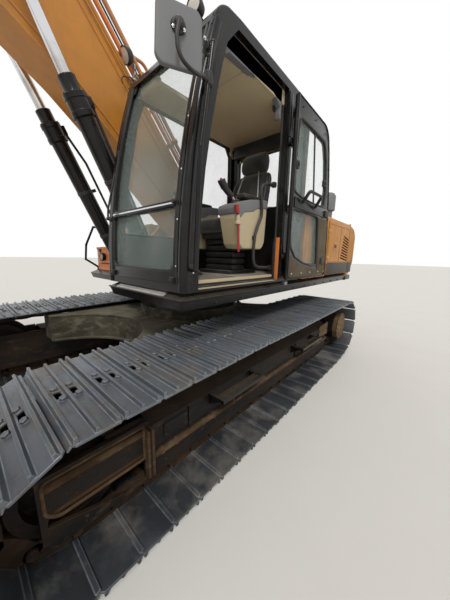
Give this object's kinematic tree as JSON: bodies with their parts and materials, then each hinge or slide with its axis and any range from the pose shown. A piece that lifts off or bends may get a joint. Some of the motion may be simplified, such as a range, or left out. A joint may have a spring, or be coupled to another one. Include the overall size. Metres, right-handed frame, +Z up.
{
  "type": "crawler excavator",
  "caption": "Crawler excavator with wide triple-grouser tracks, a swinging upper structure, open cab door, raised boom, arm and digging bucket.",
  "frame": {"origin": "middle of the bounding box in X and Y, at ground level", "axes": "+X forward along the tracks and the boom, +Y to the machine's left, +Z up"},
  "size_m": [8.4495, 3.19, 5.602],
  "materials": {
    "yellow_paint": "satin, faded and dusty",
    "bucket_paint": "worn and scratched",
    "black_paint": "satin",
    "frame_paint": "rusty and dusty",
    "dusty_deck": "dusty",
    "track_steel": "worn bright on the wear faces",
    "chrome_rod": "polished",
    "glass": "clear, lightly dusty",
    "seat_cloth": "woven",
    "beige_plastic": "matte",
    "black_plastic": "matte",
    "grey_plastic": "matte",
    "engine_grey": "painted casting"
  },
  "bodies": {
    "undercarriage": {"carbody": "dusty_deck", "track_frame_left": "frame_paint", "track_frame_right": "frame_paint", "track_left": "track_steel", "track_right": "track_steel", "idlers": "frame_paint", "sprockets": "frame_paint", "rollers": "frame_paint", "steps": "black_paint"},
    "upper": {"platform": "black_paint", "boom_bracket": "yellow_paint", "cab_floor": "black_paint", "cab_left": "black_paint", "cab_right": "black_paint", "cab_front": "black_paint", "cab_rear": "black_paint", "cab_roof": "grey_plastic", "cab_glass": "glass", "seat": "seat_cloth", "consoles": "beige_plastic", "levers": "black_plastic", "handrails": "black_paint", "side_mirror": "grey_plastic", "toolbox": "yellow_paint", "fuel_tank": "yellow_paint", "hydraulic_tank": "yellow_paint", "house_frame": "yellow_paint", "engine": "engine_grey", "counterweight": "yellow_paint", "exhaust": "frame_paint", "lamps": "grey_plastic"},
    "door": {"cab_door": "black_paint", "door_glass": "glass"},
    "hood": {"engine_hood": "yellow_paint"},
    "left_panel": {"left_door": "yellow_paint"},
    "right_panel": {"right_door": "yellow_paint"},
    "boom": {"boom": "yellow_paint", "boom_pipes": "yellow_paint"},
    "lift_barrel": {"lift_barrels": "black_paint"},
    "lift_rod": {"lift_rods": "chrome_rod"},
    "arm_cylinder": {"arm_barrel": "black_paint"},
    "arm_cylinder_rod": {"arm_rod": "chrome_rod"},
    "arm": {"arm": "yellow_paint"},
    "bucket_cylinder": {"bucket_barrel": "black_paint"},
    "bucket_cylinder_rod": {"bucket_rod": "chrome_rod"},
    "rocker": {"rocker_links": "yellow_paint"},
    "link": {"bucket_link": "yellow_paint"},
    "bucket": {"bucket": "bucket_paint"}
  },
  "joints": [
    {"name": "swing", "type": "hinge", "parent": "undercarriage", "child": "upper", "pos_m": [-1.29485, 0, 0], "axis": [0, 0, 1], "continuous": true},
    {"name": "cab_door", "type": "hinge", "parent": "upper", "child": "door", "pos_m": [-1.28685, 1.352, 0], "axis": [0, 0, -1], "range_deg": [0, 180]},
    {"name": "engine_hood", "type": "hinge", "parent": "upper", "child": "hood", "pos_m": [-2.54485, 0, 2.025], "axis": [0, 1, 0], "range_deg": [0, 65]},
    {"name": "left_door", "type": "hinge", "parent": "upper", "child": "left_panel", "pos_m": [-2.55285, 1.344, 0], "axis": [0, 0, -1], "range_deg": [0, 100]},
    {"name": "right_door", "type": "hinge", "parent": "upper", "child": "right_panel", "pos_m": [-2.55285, -1.344, 0], "axis": [0, 0, 1], "range_deg": [0, 100]},
    {"name": "boom_lift", "type": "hinge", "parent": "upper", "child": "boom", "pos_m": [-1.29485, -0.11, 1.86], "axis": [0, -1, 0], "range_deg": [-66.5, 29.5]},
    {"name": "lift_barrel_pivot", "type": "hinge", "parent": "upper", "child": "lift_barrel", "pos_m": [-0.61585, -0.11, 1.29], "axis": [0, -1, 0], "range_deg": [-69.19, 30.69]},
    {"name": "lift_rod_slide", "type": "slide", "parent": "lift_barrel", "child": "lift_rod", "axis": [0.4265, 0, 0.9045], "range_m": [-0.9151, 0.406]},
    {"name": "arm_swing", "type": "hinge", "parent": "boom", "child": "arm", "pos_m": [3.61643, -0.11, 4.75297], "axis": [0, 1, 0], "range_deg": [-93, 16]},
    {"name": "arm_barrel_pivot", "type": "hinge", "parent": "boom", "child": "arm_cylinder", "pos_m": [0.73174, -0.11, 4.33041], "axis": [0, 1, 0], "range_deg": [-1.9, 0.33]},
    {"name": "arm_rod_slide", "type": "slide", "parent": "arm_cylinder", "child": "arm_cylinder_rod", "axis": [0.9362, 0, 0.3515], "range_m": [-1.0927, 0.188]},
    {"name": "bucket_curl", "type": "hinge", "parent": "arm", "child": "bucket", "pos_m": [3.25997, -0.11, 1.84977], "axis": [0, 1, 0], "range_deg": [-133, 42]},
    {"name": "rocker_pivot", "type": "hinge", "parent": "arm", "child": "rocker", "pos_m": [3.3707, -0.11, 2.25933], "axis": [0, 1, 0], "range_deg": [-100.39, 31.7]},
    {"name": "link_pivot", "type": "hinge", "parent": "rocker", "child": "link", "pos_m": [3.74164, -0.11, 1.76253], "axis": [0, 1, 0], "range_deg": [-17.99, 56.98]},
    {"name": "bucket_barrel_pivot", "type": "hinge", "parent": "arm", "child": "bucket_cylinder", "pos_m": [4.14179, -0.11, 4.43659], "axis": [0, 1, 0], "range_deg": [-4.07, 1.29]},
    {"name": "bucket_rod_slide", "type": "slide", "parent": "bucket_cylinder", "child": "bucket_cylinder_rod", "axis": [-0.148, 0, -0.989], "range_m": [-0.8997, 0.2841]}
  ],
  "couplings": [
    {"joint": "lift_barrel_pivot", "follows": "boom_lift", "ratio": 1.02},
    {"joint": "lift_rod_slide", "follows": "boom_lift", "m_per_rad": 0.773},
    {"joint": "arm_barrel_pivot", "follows": "arm_swing", "ratio": 0.02},
    {"joint": "arm_rod_slide", "follows": "arm_swing", "m_per_rad": 0.66},
    {"joint": "rocker_pivot", "follows": "bucket_curl", "ratio": 0.74},
    {"joint": "link_pivot", "follows": "bucket_curl", "ratio": -0.42},
    {"joint": "bucket_barrel_pivot", "follows": "bucket_curl", "ratio": 0.03},
    {"joint": "bucket_rod_slide", "follows": "bucket_curl", "m_per_rad": 0.38}
  ]
}
